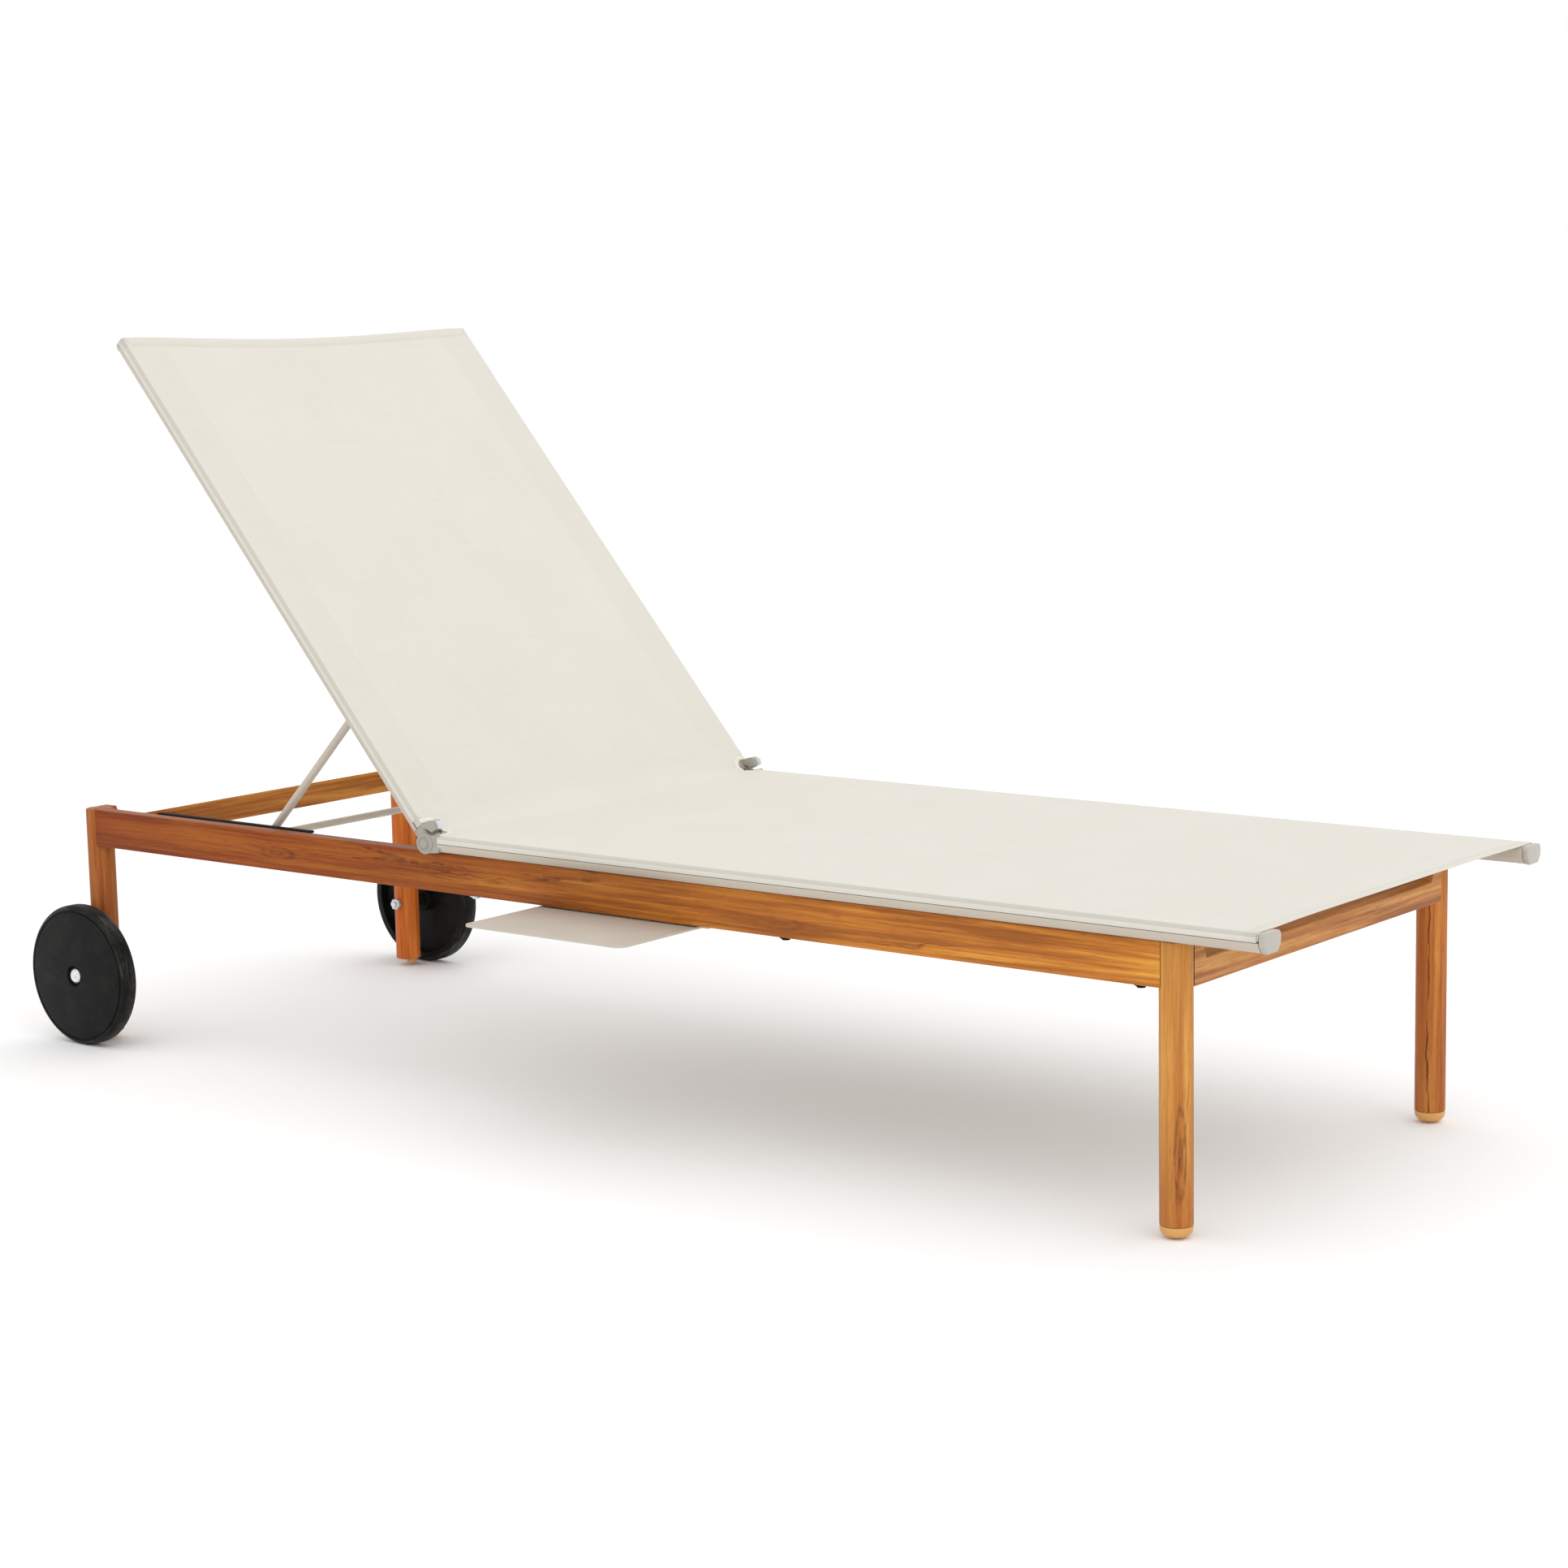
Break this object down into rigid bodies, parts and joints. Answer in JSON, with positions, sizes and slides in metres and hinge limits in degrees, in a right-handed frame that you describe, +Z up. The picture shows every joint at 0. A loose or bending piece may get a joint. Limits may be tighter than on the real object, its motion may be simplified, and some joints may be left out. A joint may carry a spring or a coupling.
{
  "type": "reclining sun lounger",
  "caption": "Wheeled garden sun lounger: wooden frame, stretched fabric on aluminium rails, a back that reclines on hinges with a notched strut, and a sliding side tray.",
  "frame": {"origin": "on the ground, below the middle of the overall outline as it stands (back raised, tray part way out)", "axes": "+X points to the foot end, +Y to the side away from the tray's end that sticks out, +Z up"},
  "size_m": [1.999, 0.8215, 0.9932],
  "materials": {
    "frame_wood": "oiled",
    "end_caps": "satin",
    "black_nylon": "matt",
    "wheel_plastic": "matt, scuffed",
    "coated_aluminium": "powder coated",
    "grey_castings": "powder coated",
    "white_nylon": "matt",
    "zinc_fasteners": "zinc plated",
    "sling_cloth": "woven"
  },
  "bodies": {
    "frame": {"rail_right": "frame_wood", "rail_left": "frame_wood", "foot_cross_rail": "frame_wood", "head_cross_rail": "frame_wood", "front_leg_right": "frame_wood", "front_leg_left": "frame_wood", "rear_leg_right": "frame_wood", "rear_leg_left": "frame_wood", "front_foot_cap_right": "end_caps", "front_foot_cap_left": "end_caps", "rear_leg_plug_right": "end_caps", "rear_leg_plug_left": "end_caps", "rack_right": "black_nylon", "rack_left": "black_nylon", "seat_rail_right": "coated_aluminium", "seat_rail_left": "coated_aluminium", "seat_rail_cap_right": "coated_aluminium", "seat_rail_cap_left": "coated_aluminium", "spreader_tube_middle": "coated_aluminium", "spreader_tube_foot": "coated_aluminium", "seat_pad_right_1": "white_nylon", "seat_pad_right_2": "white_nylon", "seat_pad_right_3": "white_nylon", "seat_pad_left_1": "white_nylon", "seat_pad_left_2": "white_nylon", "seat_pad_left_3": "white_nylon", "seat_bolt_right_1": "zinc_fasteners", "seat_bolt_right_2": "zinc_fasteners", "seat_bolt_right_3": "zinc_fasteners", "seat_bolt_left_1": "zinc_fasteners", "seat_bolt_left_2": "zinc_fasteners", "seat_bolt_left_3": "zinc_fasteners", "axle_bolt_right": "zinc_fasteners", "axle_bolt_left": "zinc_fasteners", "axle_nut_right": "zinc_fasteners", "axle_nut_left": "zinc_fasteners", "axle_spacer_right": "black_nylon", "axle_spacer_left": "black_nylon", "hinge_seat_right": "grey_castings", "hinge_seat_left": "grey_castings", "hinge_pin_right": "grey_castings", "hinge_pin_left": "grey_castings", "sling_seat": "sling_cloth", "tray_guide_head": "coated_aluminium", "tray_guide_foot": "coated_aluminium"},
    "back": {"back_rail_right": "coated_aluminium", "back_rail_left": "coated_aluminium", "back_rail_cap_right": "grey_castings", "back_rail_cap_left": "grey_castings", "back_tube_upper": "coated_aluminium", "back_tube_lower": "coated_aluminium", "hinge_back_right": "grey_castings", "hinge_back_left": "grey_castings", "sling_back": "sling_cloth"},
    "strut": {"strut_leg_right": "coated_aluminium", "strut_leg_left": "coated_aluminium", "strut_crossbar": "coated_aluminium"},
    "wheel_right": {"wheel_right": "wheel_plastic"},
    "wheel_left": {"wheel_left": "wheel_plastic"},
    "tray": {"side_tray": "coated_aluminium"}
  },
  "joints": [
    {"name": "back_recline", "type": "hinge", "parent": "frame", "child": "back", "pos_m": [-0.2275, 0.045, 0.346], "axis": [0, 1, 0], "range_deg": [-49.5, 10.5]},
    {"name": "strut_swing", "type": "hinge", "parent": "back", "child": "strut", "pos_m": [-0.38198, 0.045, 0.51995], "axis": [0, 1, 0], "range_deg": [-19.2, 90.2]},
    {"name": "wheel_right_spin", "type": "hinge", "parent": "frame", "child": "wheel_right", "pos_m": [-0.8995, -0.304, 0.1], "axis": [0, 1, 0], "continuous": true},
    {"name": "wheel_left_spin", "type": "hinge", "parent": "frame", "child": "wheel_left", "pos_m": [-0.8995, 0.394, 0.1], "axis": [0, 1, 0], "continuous": true},
    {"name": "tray_slide", "type": "slide", "parent": "frame", "child": "tray", "axis": [0, -1, 0], "range_m": [-0.132, 0.12]}
  ],
  "couplings": [
    {"joint": "strut_swing", "follows": "back_recline", "ratio": -1.82}
  ]
}
